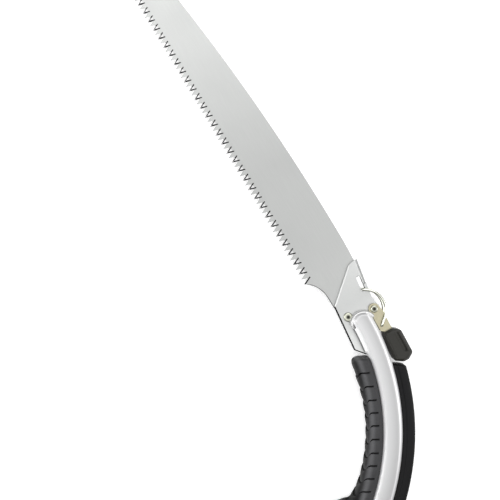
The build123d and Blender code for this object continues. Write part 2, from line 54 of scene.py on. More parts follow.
# ---------------------------------------------------------------- the saw's own axes, in mm
# u runs along the toothed edge towards the handle, and v from the teeth to the spine. u is 0
# at the heel tooth's tip, which is at TIP_V in v. The row's origin is the lanyard hole.
ARC_U, ARC_V = 44.2, -155.8
TUBE_R = 180.0
LANYARD_ANGLE = math.radians(49.3)
HOLE_U = ARC_U + TUBE_R * math.sin(LANYARD_ANGLE)
HOLE_V = ARC_V + TUBE_R * math.cos(LANYARD_ANGLE)


def at(u, v, z=0.0):
    """Row position in metres of a point given in mm along and across the blade."""
    return Vector(((u - HOLE_U) * MM, (v - HOLE_V) * MM, z * MM))


def arc(radius, degrees, z=0.0):
    """Row position in metres of a point given by radius and angle on the handle's arc."""
    turn = math.radians(degrees)
    return at(ARC_U + radius * math.sin(turn), ARC_V + radius * math.cos(turn), z)


def add_object(name, data):
    """Makes an object from its data and puts it in the scene."""
    made = bpy.data.objects.new(name, data)
    bpy.context.scene.collection.objects.link(made)
    return made


# ---------------------------------------------------------------- camera, straight above the saw
SAW_TURN = math.radians(59.1)
CAMERA_HEIGHT = 0.6
aim = at(-45.8, -24.3)
camera_data = bpy.data.cameras.new("camera")
camera_data.lens = 54.0
camera_data.sensor_width = 36.0
camera_data.clip_start, camera_data.clip_end = 0.01, 20.0
camera = add_object("camera", camera_data)
camera.location = (aim.x, aim.y, CAMERA_HEIGHT)
camera.rotation_euler = (0.0, 0.0, SAW_TURN)
bpy.context.scene.camera = camera

# ---------------------------------------------------------------- studio
bpy.context.scene.view_settings.view_transform = "Standard"
WORLD_STRENGTH = 0.22
world = bpy.data.worlds.new("studio")
bpy.context.scene.world = world
world.use_nodes = True
world.node_tree.nodes["Background"].inputs["Color"].default_value = (1.0, 1.0, 1.0, 1.0)
world.node_tree.nodes["Background"].inputs["Strength"].default_value = WORLD_STRENGTH


def softbox(name, right, up, height, size, radiance):
    """A soft area light that faces the saw. Its place is how far right and up it is in the main
    view and its height, in metres, and radiance is how bright its face is."""
    c, s = math.cos(SAW_TURN), math.sin(SAW_TURN)
    where = Vector((aim.x + right * c - up * s, aim.y + right * s + up * c, height))
    data = bpy.data.lights.new(name, "AREA")
    data.shape = "RECTANGLE"
    data.size, data.size_y = size
    data.energy = radiance * math.pi * size[0] * size[1]
    lamp = add_object(name, data)
    lamp.location = where
    lamp.rotation_euler = (where - aim).to_track_quat("Z", "Y").to_euler()
    lamp.visible_camera = False


softbox("overhead", 0.0, 0.1, 1.3, (1.9, 1.9), 1.5)
softbox("top_box", 0.35, 1.05, 1.1, (1.1, 0.7), 3.2)
softbox("right_box", 1.05, -0.15, 0.75, (0.5, 1.3), 3.4)
softbox("upper_box", -0.45, 0.95, 1.3, (0.7, 0.6), 2.6)
softbox("left_box", -1.05, -0.1, 0.85, (0.6, 1.3), 3.6)

FLOOR_GAP, FLOOR_HALF = 0.0005, 4
FLOOR_Z = cad_low.z - FLOOR_GAP
floor_mesh = bpy.data.meshes.new("floor")
floor_mesh.from_pydata(
    [(x * FLOOR_HALF, y * FLOOR_HALF, FLOOR_Z) for x, y in ((-1, -1), (1, -1), (1, 1), (-1, 1))],
    [], [(0, 1, 2, 3)],
)
floor = add_object("floor", floor_mesh)

# ---------------------------------------------------------------- materials
ARC_CENTRE = at(ARC_U, ARC_V)
NOISE_LOW, NOISE_HIGH = 0.3, 0.7  # the part of a noise's range that it mostly stays in
SHADE_STARTS, SHADE_FULL = 0.42, 0.6  # how squarely a surface faces the side whose edges are painted dark as shade
LEAST_ROUGH = 0.02
# the Mix node's sockets have the same names for numbers and for colours, so these are indices
FACTOR, NUMBER_A, NUMBER_B, COLOUR_A, COLOUR_B = 0, 2, 3, 6, 7
NUMBER_OUT, COLOUR_OUT = 0, 2


def add_node(tree, kind, inputs=None, **settings):
    """A shader node with its settings. Each input is linked to a socket or set to a value."""
    made = tree.nodes.new("ShaderNode" + kind)
    for setting, value in settings.items():
        setattr(made, setting, value)
    for key, value in (inputs or {}).items():
        if isinstance(value, bpy.types.NodeSocket):
            tree.links.new(value, made.inputs[key])
        else:
            made.inputs[key].default_value = value
    return made


def ramp(tree, fac, stops):
    """The colour from a ramp through two or more stops, each a position and a colour."""
    made = add_node(tree, "ValToRGB", {"Fac": fac})
    elements = made.color_ramp.elements
    for index, (position, colour) in enumerate(stops):
        if index == 0:
            stop = elements[0]
        elif index == len(stops) - 1:
            stop = elements[-1]
        else:
            stop = elements.new(position)
        stop.position = position
        stop.color = list(colour) + [1.0]
    return made.outputs["Color"]


def painted_light_ramp(tree, place, painted_light, centre):
    """Painted light and shade: how light a surface is painted at each radius round a centre, from a
    list of radii in mm and levels.
    """
    flat = add_node(tree, "VectorMath", {0: place, 1: (1.0, 1.0, 0.0)}, operation="MULTIPLY")
    reach = add_node(
        tree, "VectorMath", {0: flat.outputs["Vector"], 1: centre}, operation="DISTANCE"
    )
    first, last = painted_light[0][0], painted_light[-1][0]
    scaled = add_node(tree, "MapRange", {
        "Value": reach.outputs["Value"], "From Min": first * MM, "From Max": last * MM,
    })
    stops = [((radius - first) / (last - first), [level] * 3) for radius, level in painted_light]
    return ramp(tree, scaled.outputs["Result"], stops)


def material(name, colour, rough, metal=0.0, spread=0.1, grain=900.0, bump=0.05, depth=0.0002,
             streak=(1.0, 1.0, 1.0), rough_spread=0.08, specular=0.5, blotch=25.0,
             shade_side=None, shade_colour=None, painted_light=None, centre=ARC_CENTRE):
    """A surface whose tone, gloss and fine relief vary, all from noise in the row frame. Where it
    faces along the given shade side it takes the given dark colour instead: painted shade on the
    edges that face that way. The list of radii in mm round centre gives how light the surface is
    painted there, painted light and shade; a far centre makes a straight ramp."""
    made = bpy.data.materials.new(name)
    made.use_nodes = True
    tree = made.node_tree
    shader = tree.nodes["Principled BSDF"]
    shader.inputs["Metallic"].default_value = metal
    shader.inputs["Specular IOR Level"].default_value = specular

    place = add_node(tree, "TexCoord").outputs
    stretched = add_node(tree, "Mapping", {"Vector": place["Object"], "Scale": streak})
    fine = add_node(tree, "TexNoise", {
        "Vector": stretched.outputs["Vector"], "Scale": grain, "Detail": 4.0,
    }).outputs["Fac"]
    wide = add_node(tree, "TexNoise", {
        "Vector": place["Object"], "Scale": blotch, "Detail": 3.0,
    }).outputs["Fac"]
    noise = add_node(
        tree, "Mix", {FACTOR: 0.5, NUMBER_A: fine, NUMBER_B: wide}, data_type="FLOAT"
    ).outputs[NUMBER_OUT]
    tone = ramp(tree, noise, [
        (NOISE_LOW, [c * (1 - spread) for c in colour]),
        (NOISE_HIGH, [min(1.0, c * (1 + spread)) for c in colour]),
    ])
    # painted light and shade: the tone is made lighter or darker by the distance from centre
    if painted_light:
        light = painted_light_ramp(tree, place["Object"], painted_light, centre)
        tone = add_node(
            tree, "Mix", {FACTOR: 1.0, COLOUR_A: tone, COLOUR_B: light},
            data_type="RGBA", blend_type="MULTIPLY",
        ).outputs[COLOUR_OUT]
    # painted shade: faces turned towards the shade side are painted dark
    if shade_side:
        facing = add_node(
            tree, "VectorMath", {0: place["Normal"], 1: shade_side}, operation="DOT_PRODUCT"
        )
        shade_mask = add_node(tree, "MapRange", {
            "Value": facing.outputs["Value"], "From Min": SHADE_STARTS, "From Max": SHADE_FULL,
        })
        tone = add_node(tree, "Mix", {
            FACTOR: shade_mask.outputs["Result"], COLOUR_A: tone, COLOUR_B: list(shade_colour) + [1.0],
        }, data_type="RGBA").outputs[COLOUR_OUT]
    gloss = add_node(tree, "MapRange", {
        "Value": wide, "From Min": NOISE_LOW, "From Max": NOISE_HIGH,
        "To Min": max(LEAST_ROUGH, rough - rough_spread), "To Max": min(1.0, rough + rough_spread),
    })
    relief = add_node(tree, "Bump", {"Height": fine, "Strength": bump, "Distance": depth})
    tree.links.new(tone, shader.inputs["Base Color"])
    tree.links.new(gloss.outputs["Result"], shader.inputs["Roughness"])
    tree.links.new(relief.outputs["Normal"], shader.inputs["Normal"])
    return made


ALONG = (0.04, 1.0, 1.0)
FAR_CENTRE = at(700.0, 20.0)
# the head's edges that face this way, towards the lower left, are painted dark as shade
CHEEK_SHADE_SIDE = (0.3, -0.954, 0.0)
NOSE_CENTRE = at(51.2, 22.9)
# painted light along the blade: darkest about a third of the way out, lighter towards its tip
blade_face = material(
    "blade_face", (0.335, 0.34, 0.335), 0.42, metal=1.0, spread=0.04, grain=1500, depth=0.0001,
    streak=ALONG, rough_spread=0.05, centre=FAR_CENTRE,
    painted_light=[(640.0, 0.99), (695.0, 0.98), (720.0, 0.94), (770.0, 0.925), (795.0, 0.9),
            (820.0, 0.94), (845.0, 0.97), (870.0, 1.0), (895.0, 1.03), (920.0, 1.05),
            (1010.0, 1.0)],
)
# the teeth's ground facets are painted near black as shade
tooth_ground_painted_shade = material(
    "tooth_ground_painted_shade", (0.004, 0.004, 0.005), 0.6, spread=0.3, grain=2500, bump=0.1, depth=0.0001,
    specular=0.02,
)
# the flat at each tooth's tip is a lighter copy of the blade's steel: a painted highlight
tooth_flat_painted_highlight = material(
    "tooth_flat_painted_highlight", (0.47, 0.47, 0.47), 0.4, metal=1.0, spread=0.05, grain=1800, depth=0.0001,
)
# the blade's edges are painted dark as shade
blade_edge_painted_shade = material(
    "blade_edge_painted_shade", (0.03, 0.03, 0.03), 0.6, metal=0.5, spread=0.3, grain=2500, bump=0.1,
    depth=0.0001, specular=0.2,
)
# painted shade on the bracket's lower-left edges, and painted light along it: lighter towards the
# handle
bracket_metal = material(
    "bracket_zinc", (0.41, 0.416, 0.411), 0.36, metal=1.0, spread=0.05, grain=1600, bump=0.06,
    depth=0.0001, shade_side=CHEEK_SHADE_SIDE, shade_colour=(0.006, 0.006, 0.006), centre=FAR_CENTRE,
    painted_light=[(620.0, 1.14), (644.0, 1.12), (656.0, 0.98), (668.0, 0.92), (700.0, 1.0)],
)
# painted light across the tube: painted highlights along both edges and a darker middle
tube_metal = material(
    "tube_satin", (0.60, 0.60, 0.605), 0.36, metal=0.3, spread=0.03, grain=2600, bump=0.06,
    depth=0.0001, rough_spread=0.04,
    painted_light=[(171.4, 1.5), (172.8, 1.35), (174.0, 0.92), (175.5, 0.78), (178.0, 0.7),
            (182.6, 0.57), (183.9, 0.6), (184.9, 1.2), (187.6, 1.0)],
)
weld_metal = material(
    "weld_bead", (0.72, 0.72, 0.72), 0.38, metal=0.3, spread=0.06, grain=500, bump=0.35,
    depth=0.0004,
)
# painted shade: thin dark lines along both edges of the bead, beside the tube and round its nose
weld_side = material(
    "weld_side", (0.78, 0.78, 0.78), 0.4, metal=0.2, spread=0.06, grain=500, bump=0.35,
    depth=0.0004,
    painted_light=[(169.6, 0.12), (170.2, 0.2), (170.6, 1.0), (171.9, 1.0), (172.2, 0.2), (173.0, 1.0)],
)
weld_nose = material(
    "weld_nose", (0.72, 0.72, 0.72), 0.4, metal=0.2, spread=0.06, grain=500, bump=0.35,
    depth=0.0004, centre=NOSE_CENTRE,
    painted_light=[(8.0, 0.2), (8.7, 0.3), (9.2, 1.0), (10.4, 1.0), (10.7, 0.3), (11.4, 1.0)],
)
zinc_metal = material(
    "zinc_passivated", (0.325, 0.303, 0.215), 0.3, metal=1.0, spread=0.12, grain=500, bump=0.06,
)
wire_metal = material(
    "wire_bright", (0.62, 0.63, 0.56), 0.2, metal=1.0, spread=0.06, grain=700, depth=0.0001,
)
# painted light and shade across the grip: dark along the finger side, a painted highlight along the
# ridge and a dark line beside the tube
rubber = material(
    "grip_rubber", (0.072, 0.072, 0.075), 0.55, spread=0.2, grain=2200, bump=0.35,
    rough_spread=0.1, specular=0.07,
    painted_light=[(157.4, 0.08), (159.2, 0.12), (160.3, 0.3), (161.5, 0.85), (162.6, 1.2),
            (163.6, 1.15), (164.6, 0.85), (165.8, 0.62), (170.6, 0.56), (171.3, 0.2),
            (171.8, 1.0)],
)
# the faces down in the grooves are painted near black as shade
groove_painted_shade = material(
    "rubber_groove_painted_shade", (0.006, 0.006, 0.006), 0.7, spread=0.2, grain=2200, bump=0.3,
    rough_spread=0.1, specular=0.02,
)
strip_plastic = material(
    "strip_plastic", (0.005, 0.005, 0.0055), 0.5, spread=0.25, grain=1800, bump=0.3,
    specular=0.12,
)
lever_plastic = material(
    "lever_plastic", (0.0165, 0.016, 0.0135), 0.4, spread=0.25, grain=1500, bump=0.25,
    specular=0.22,
)
nylon = material("nylon", (0.02, 0.02, 0.02), 0.55, spread=0.2, grain=1200, bump=0.2)
hard_plastic = material("core_plastic", (0.05, 0.05, 0.052), 0.6, spread=0.2, bump=0.2)
brass = material("brass", (0.72, 0.52, 0.24), 0.3, metal=1.0, spread=0.08, grain=1200, bump=0.08)
screw_steel = material(
    "screw_steel", (0.46, 0.46, 0.47), 0.35, metal=1.0, spread=0.08, grain=1200, bump=0.08,
)
paper = material(
    "floor_paper", (0.93, 0.93, 0.93), 0.9, spread=0.01, grain=40, bump=0.02, depth=0.001,
    rough_spread=0.02, specular=0.1, blotch=3.0,
)
PAPER_GLOW = 0.26  # keeps the floor white
paper_shader = paper.node_tree.nodes["Principled BSDF"]
paper_shader.inputs["Emission Color"].default_value = (1.0, 1.0, 1.0, 1.0)
paper_shader.inputs["Emission Strength"].default_value = PAPER_GLOW
floor_mesh.materials.append(paper)

# the CAD nodes that stay, each with the material of all its slots
finishes = {
    "head_bracket": bracket_metal, "spacer_plate": screw_steel, "lever_washers": nylon,
    "lever_plate": zinc_metal, "lever_grip_pin": screw_steel, "bail": wire_metal,
    "handle_tube": tube_metal, "front_grip_core": hard_plastic, "grip_inserts": brass,
    "tube_spacers": hard_plastic, "grip_screws": screw_steel, "butt_cap": nylon,
    "butt_cap_pin": screw_steel, "lanyard_sleeve": nylon,
}
# painted shade: a dark spot in the middle of each rivet's head
for rivet, rivet_u, rivet_v in (("hook_pin", 40.1, 15.3), ("lever_pivot_rivet", 44.8, 36.2)):
    finishes[rivet] = material(
        rivet + "_zinc", (0.46, 0.465, 0.39), 0.3, metal=1.0, grain=500, bump=0.06,
        centre=at(rivet_u, rivet_v),
        painted_light=[(0.0, 0.04), (1.0, 0.08), (1.5, 0.4), (2.2, 0.95), (3.0, 1.0), (3.8, 1.0)],
    )
for node, finish in finishes.items():
    data = nodes[node].data
    if not data.materials:
        data.materials.append(finish)
    for index in range(len(data.materials)):
        data.materials[index] = finish


# ---------------------------------------------------------------- mesh helpers
MERGE_DISTANCE = 1e-7


def piece(name, verts, faces, body, stands_for, mats, face_mats, sharp):
    """Makes a closed mesh from vertices in metres and rides it on a body. Its normals are made
    to agree, and edges that turn by more than sharp degrees stay sharp."""
    mesh = bpy.data.meshes.new(name)
    mesh.from_pydata(verts, [], faces)
    for finish in mats:
        mesh.materials.append(finish)
    if face_mats:
        mesh.polygons.foreach_set("material_index", face_mats)
    work = bmesh.new()
    work.from_mesh(mesh)
    bmesh.ops.remove_doubles(work, verts=work.verts, dist=MERGE_DISTANCE)
    bmesh.ops.recalc_face_normals(work, faces=work.faces)
    work.to_mesh(mesh)
    work.free()
    mesh.polygons.foreach_set("use_smooth", [True] * len(mesh.polygons))
    mesh.set_sharp_from_angle(angle=math.radians(sharp))
    made = add_object(name, mesh)
    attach(made, body)
    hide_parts(stands_for)


def smoothstep(low, high, x):
    """Smooth 0 to 1 as x goes from low to high, which may be the lower number."""
    t = max(0.0, min(1.0, (x - low) / (high - low)))
    return t * t * (3 - 2 * t)


def circle_through(a, b, c, count):
    """Points along the arc from a through b to c, both ends left out."""
    ax, ay = a
    bx, by = b
    cx, cy = c
    d = 2 * (ax * (by - cy) + bx * (cy - ay) + cx * (ay - by))
    sa, sb, sc = ax * ax + ay * ay, bx * bx + by * by, cx * cx + cy * cy
    ox = (sa * (by - cy) + sb * (cy - ay) + sc * (ay - by)) / d
    oy = (sa * (cx - bx) + sb * (ax - cx) + sc * (bx - ax)) / d
    r = math.hypot(ax - ox, ay - oy)
    start, mid, end = (math.atan2(p[1] - oy, p[0] - ox) for p in (a, b, c))
    full = 2 * math.pi
    sweep = (end - start) % full
    if (mid - start) % full > sweep:
        sweep -= full
    return [
        (ox + r * math.cos(start + sweep * k / count), oy + r * math.sin(start + sweep * k / count))
        for k in range(1, count)
    ]


def circle(centre, radius, count):
    """Points in mm evenly round a circle."""
    turns = [2 * math.pi * k / count for k in range(count)]
    return [(centre[0] + radius * math.cos(t), centre[1] + radius * math.sin(t)) for t in turns]


def band(first, second, count):
    """Faces between two rings of count vertices, given by where each ring starts."""
    return [
        (first + k, first + (k + 1) % count, second + (k + 1) % count, second + k)
        for k in range(count)
    ]


def stack(start, rows, count):
    """Faces between rows rings of count vertices each, and one face over each end."""
    faces = []
    for row in range(rows - 1):
        faces += band(start + row * count, start + (row + 1) * count, count)
    last = start + (rows - 1) * count
    return faces + [tuple(range(start, start + count)), tuple(range(last, last + count))]


def whole_ring(half):
    """A ring from its near half, a list of radius, angle and height, and the half's mirror image."""
    mirrored = [(radius, turn, -height) for radius, turn, height in reversed(half[1:-1])]
    return [arc(*point) for point in half + mirrored]


def end_cap(first, count):
    """Faces that close a whole ring by joining its near half to its far half."""
    out = []
    for k in range(count // 2):
        far_b, far_a = first + (count - k - 1) % count, first + (count - k) % count
        corners = tuple(dict.fromkeys((first + k, first + k + 1, far_b, far_a)))
        if len(corners) > 2:
            out.append(corners)
    return out


def sweep_rings(rings):
    """Vertices and faces of a closed shape through whole rings, its end caps last."""
    count = len(rings[0])
    faces = []
    for row in range(len(rings) - 1):
        faces += band(row * count, (row + 1) * count, count)
    faces += end_cap(0, count) + end_cap((len(rings) - 1) * count, count)
    return [point for ring in rings for point in ring], faces


def round_end(distance, radius):
    """How far a section draws in near an end that is rounded to a radius."""
    if distance >= radius:
        return 0.0
    return radius - math.sqrt(max(0.0, radius**2 - (radius - distance) ** 2))


def arc_length(degrees, radius):
    """Length in mm of so many degrees on the handle's arc."""
    return degrees * math.radians(1) * radius


# ---------------------------------------------------------------- blade
HALF = 0.65  # half the blade's thickness
PITCH, PITCH_FALL = 4.477, 0.0092  # at the heel, and how much it falls with each tooth
TOOTH_COUNT = 73
TIP_V = -1.3
TOOTH_HEIGHT = 4.6
FRONT, BACK = 2.1, 1.45  # how far each flank runs along u as it rises by the tooth's height
GRIND = 1.0  # width of the ground facet along each flank
# heights above the tip: the top of the ground facets, where they end beside a gullet, the top
# of the bright flat, and the top of the bright tip
GRIND_TOP, GRIND_END, BRIGHT_TOP, BRIGHT_TIP = 7.4, 7.0, 5.8, 0.9
SPINE_V, SPINE_R, SPINE_BEND, SPINE_END, SPINE_STEPS = 43.55, 1724.0, -25.6, -293.0, 40
HOOK_U, HOOK_V, HOOK_R, HOOK_STEPS = 40.1, 15.3, 2.58, 16
NOSE_TIP = (-307.4, 3.9)
TANG_FOOT, HEEL_TOP, HEEL_MIDDLE, HEEL_STEPS = (34.5, 9.7), (17.0, 9.3), (6.3, 5.4), 12
PILOT_HOLES, HOLE_STEPS = (((21.3, 24.0), 2.25), ((36.3, 24.0), 2.5)), 28
BEVEL_WIDTH, BEVEL_FADE = 0.55, 2.5
FACE, GROUND, FLAT, EDGE = range(4)


def tooth_tip(index):
    """Where a tooth's tip is in u. The pitch falls evenly from the heel to the blade's tip."""
    return -index * (PITCH - PITCH_FALL * index / 2)


def tooth_scale(index):
    """How large a tooth is: each one is scaled to its own pitch."""
    return 1 - PITCH_FALL * index / PITCH


def on_tooth(index, point):
    """Local place of a point given relative to the tip of a full-sized tooth."""
    scale = tooth_scale(index)
    return tooth_tip(index) + point[0] * scale, TIP_V + point[1] * scale


def on_flank(run, v):
    """A point on a flank's line, carried on above the gullet, relative to the tip."""
    return run * v / TOOTH_HEIGHT, v


def ground(run):
    """A flank's grinding line relative to the tip: its upper end, its direction, and inwards."""
    length = math.hypot(run, TOOTH_HEIGHT)
    along = (run / length, TOOTH_HEIGHT / length)
    inward = (-along[1] if run > 0 else along[1], abs(along[0]))
    t = (GRIND_TOP - GRIND * inward[1]) / along[1]
    return (GRIND * inward[0] + t * along[0], GRIND_TOP), along, inward


def inner_tip():
    """Where a tooth's two grinding lines cross, relative to the tip."""
    _, along_b, in_b = ground(BACK)
    _, along_f, in_f = ground(-FRONT)
    px, py = GRIND * in_b[0], GRIND * in_b[1]
    qx, qy = GRIND * in_f[0], GRIND * in_f[1]
    cross = along_b[0] * along_f[1] - along_b[1] * along_f[0]
    t = ((qx - px) * along_f[1] - (qy - py) * along_f[0]) / cross
    return px + t * along_b[0], py + t * along_b[1]


def grinding_meets(index, towards, run):
    """Where the line from a tooth's tip towards a place crosses a flank's grinding line."""
    tip = tooth_tip(index)
    way = (Vector(towards) - Vector((tip, TIP_V))).normalized()
    _, along, inward = ground(run)
    reach = tooth_scale(index) * GRIND * (inward[0] * along[1] - inward[1] * along[0]) / (
        way.x * along[1] - way.y * along[0]
    )
    return tip + way.x * reach, TIP_V + way.y * reach


def spine(u):
    """The spine's height in v along its curved part."""
    return SPINE_V - SPINE_R + math.sqrt(SPINE_R**2 - (u - SPINE_BEND) ** 2)


class Shell:
    """Vertices and faces of the blade, each vertex made once. A corner is a point and a side."""

    def __init__(self):
        self.verts, self.keys, self.faces, self.mats = [], {}, [], []

    def corner(self, point, side):
        key = (round(point[0], 4), round(point[1], 4), side)
        if key not in self.keys:
            self.keys[key] = len(self.verts)
            self.verts.append(at(point[0], point[1], side * HALF))
        return self.keys[key]

    def face(self, mat, *corners):
        self.faces.append([self.corner(*corner) for corner in corners])
        self.mats.append(mat)


shell = Shell()
heel_arc = circle_through(HEEL_TOP, HEEL_MIDDLE, (0.0, TIP_V), HEEL_STEPS)
loops = {1: [], -1: []}
tip_in = inner_tip()
back_end, front_end = ground(BACK)[0], ground(-FRONT)[0]
rise = (BRIGHT_TOP - tip_in[1]) / (GRIND_TOP - tip_in[1])
for index in range(TOOTH_COUNT):
    tip = (tooth_tip(index), TIP_V)
    bevel = 1 if index % 2 == 0 else -1
    edge = -bevel
    # b is on the back flank and f on the front one. g is the gullet, p the grinding line's upper
    # end, x where the grinding ends beside the gullet, q the bright flat's top, t the tip's.
    gb, gf = (on_tooth(index, (run, TOOTH_HEIGHT)) for run in (BACK, -FRONT))
    pb, pf, inner = (on_tooth(index, point) for point in (back_end, front_end, tip_in))
    xb, xf = (on_tooth(index, on_flank(run, GRIND_END)) for run in (BACK, -FRONT))
    tb, tf = (on_tooth(index, on_flank(run, BRIGHT_TIP)) for run in (BACK, -FRONT))
    qb, qf = (
        (inner[0] + (p[0] - inner[0]) * rise, inner[1] + (p[1] - inner[1]) * rise)
        for p in (pb, pf)
    )
    if index == 0:
        # no back flank: the grinding line meets the heel's curve instead
        meet = grinding_meets(index, heel_arc[-1], -FRONT)
        loops[edge] += [tip, gf]
        loops[bevel] += [meet, pf, xf, gf]
        shell.face(GROUND, (tip, edge), (gf, edge), (pf, bevel), (meet, bevel))
        shell.face(GROUND, (gf, edge), (gf, bevel), (xf, bevel), (pf, bevel))
        before = gf
        continue
    shell.face(EDGE, (before, 1), (gb, 1), (gb, -1), (before, -1))
    shell.face(GROUND, (gb, edge), (pb, bevel), (xb, bevel), (gb, bevel))
    if index == TOOTH_COUNT - 1:
        # no front flank: the blade's nose starts at this tooth's tip
        meet = grinding_meets(index, NOSE_TIP, BACK)
        loops[edge] += [gb, tip]
        loops[bevel] += [gb, xb, pb, meet]
        shell.face(GROUND, (gb, edge), (tip, edge), (meet, bevel), (pb, bevel))
        continue
    loops[edge] += [gb, tb, tip, tf, gf]
    loops[bevel] += [gb, xb, pb, qb, qf, pf, xf, gf]
    shell.face(FLAT, (qb, bevel), (inner, bevel), (qf, bevel))
    shell.face(FLAT, (tb, edge), (tip, edge), (tf, edge), (inner, bevel))
    shell.face(GROUND, (gb, edge), (tb, edge), (inner, bevel), (qb, bevel), (pb, bevel))
    shell.face(GROUND, (tf, edge), (gf, edge), (pf, bevel), (qf, bevel), (inner, bevel))
    shell.face(GROUND, (gf, edge), (gf, bevel), (xf, bevel), (pf, bevel))
    before = gf

# the rest of the outline: nose, spine, the spine's notch, tang, hook, heel
rest = [NOSE_TIP, (-300.7, 16.0), (-297.7, 20.0), (SPINE_END, spine(SPINE_END))]
for step in range(1, SPINE_STEPS):
    u = SPINE_END + (SPINE_BEND - SPINE_END) * step / SPINE_STEPS
    rest.append((u, spine(u)))
rest += [
    (SPINE_BEND, SPINE_V), (-12.0, 43.5), (4.0, 42.8), (16.6, 40.7), (16.6, 33.5), (28.5, 33.5),
    (28.5, 39.6), (29.6, 40.4), (31.4, 40.4), (35.0, 38.6), (49.4, 21.2), (50.4, 17.7),
    (48.4, 12.7), (45.0, 8.9), (43.2, 9.2),
]
hook = [(HOOK_U + HOOK_R, HOOK_V), (HOOK_U, HOOK_V + HOOK_R), (HOOK_U - HOOK_R, HOOK_V)]
rest += [hook[0]] + circle_through(*hook, HOOK_STEPS) + [hook[2], TANG_FOOT, HEEL_TOP] + heel_arc
# the near side's lower edge is bevelled from the tang's foot to the heel
bevel_from = rest.index(TANG_FOOT)
rest_near = rest[:bevel_from]
for k in range(bevel_from, len(rest)):
    here = Vector(rest[k])
    along = (Vector(rest[min(k + 1, len(rest) - 1)]) - Vector(rest[k - 1])).normalized()
    width = BEVEL_WIDTH * smoothstep(0.0, BEVEL_FADE, here.x)
    rest_near.append((here.x + along.y * width, here.y - along.x * width))
ring = [loops[-1][-1]] + rest + [loops[-1][0]]
ring_near = [loops[1][-1]] + rest_near + [loops[1][0]]
for k in range(len(ring) - 1):
    shell.face(
        EDGE, (ring_near[k], 1), (ring_near[k + 1], 1), (ring[k + 1], -1), (ring[k], -1)
    )
loops[1] += rest_near
loops[-1] += rest
holes = [circle(centre, radius, HOLE_STEPS) for centre, radius in PILOT_HOLES]
for hole in holes:
    for a, b in zip(hole, hole[1:] + hole[:1]):
        shell.face(EDGE, (a, 1), (b, 1), (b, -1), (a, -1))
for side in (1, -1):
    outlines = [loops[side]] + holes
    flat = [p for outline in outlines for p in outline]
    for triangle in geometry.tessellate_polygon(
        [[Vector((p[0], p[1], 0)) for p in outline] for outline in outlines]
    ):
        shell.face(FACE, *((flat[k], side) for k in triangle))
piece(
    "saw_blade", shell.verts, shell.faces, "blade", "blade",
    mats=[blade_face, tooth_ground_painted_shade, tooth_flat_painted_highlight, blade_edge_painted_shade], face_mats=shell.mats, sharp=20.0,
)

# ---------------------------------------------------------------- weld round the tube's nose
CHEEK_OUT, CHEEK_IN = 3.0, 1.1  # heights of the cheek's outer face and of the weld's underside
BEAD_R, BEAD_TALL, BEAD_LIFT, BEAD_RIPPLE, BEAD_STEP = 1.5, 3.5, 1.8, 0.1, 1.1
BEAD_SPACING, BEAD_AROUND = 0.25, 20
BEAD_END, BEAD_END_SHRINK = 1.6, 0.6
SIDE_R, SIDE_FROM, SIDE_SWEEP, SIDE_STEPS = 171.2, 9.2, 8.2, 32
NOSE_LOW, NOSE_FRONT, NOSE_HIGH, NOSE_STEPS = (45.6, 15.0), (41.7, 25.0), (50.3, 32.6), 40
BLOB, BLOB_R, BLOB_LIFT, BLOB_ROWS, BLOB_AROUND = (47.8, 17.2), 2.5, 1.6, 9, 24
ON_SIDE, ON_NOSE, ON_BLOB = range(3)


def bead_path():
    """Points in mm along the bead, evenly spaced: down the tube's side, then round its nose."""
    side = []
    for k in range(SIDE_STEPS + 1):
        turn = math.radians(SIDE_FROM - SIDE_SWEEP * k / SIDE_STEPS)
        side.append((ARC_U + SIDE_R * math.sin(turn), ARC_V + SIDE_R * math.cos(turn)))
    nose = circle_through(NOSE_LOW, NOSE_FRONT, NOSE_HIGH, NOSE_STEPS)
    coarse = [Vector(p) for p in side + [NOSE_LOW] + nose + [NOSE_HIGH]]
    out, left = [coarse[0]], BEAD_SPACING
    for a, b in zip(coarse, coarse[1:]):
        while (b - a).length >= left:
            a = a + (b - a).normalized() * left
            out.append(a)
            left = BEAD_SPACING
        left -= (b - a).length
    return out


def bead_ring(path, k, side):
    """The bead's ring at a point of its path, on one cheek."""
    along = (path[min(k + 1, len(path) - 1)] - path[max(k - 1, 0)]).normalized()
    across = Vector((-along.y, along.x))
    ripple = BEAD_RIPPLE * math.cos(2 * math.pi * k * BEAD_SPACING / BEAD_STEP)
    to_end = min(k, len(path) - 1 - k) * BEAD_SPACING
    size = (BEAD_R + ripple) * (1 - smoothstep(BEAD_END, 0.0, to_end) * BEAD_END_SHRINK)
    out = []
    for j in range(BEAD_AROUND):
        turn = 2 * math.pi * j / BEAD_AROUND
        q = path[k] + across * size * math.cos(turn)
        height = CHEEK_OUT + BEAD_LIFT + BEAD_TALL * (size / BEAD_R) * math.sin(turn)
        out.append(at(q.x, q.y, side * max(CHEEK_IN, height)))
    return out


def blob_ring(row, side):
    """One of the rings of the blob at the bead's corner, from its top down, on one cheek."""
    tilt = math.pi * (row + 0.5) / BLOB_ROWS
    height = max(CHEEK_IN, CHEEK_OUT + BLOB_LIFT + BLOB_R * math.cos(tilt))
    return [
        at(u, v, side * height) for u, v in circle(BLOB, BLOB_R * math.sin(tilt), BLOB_AROUND)
    ]


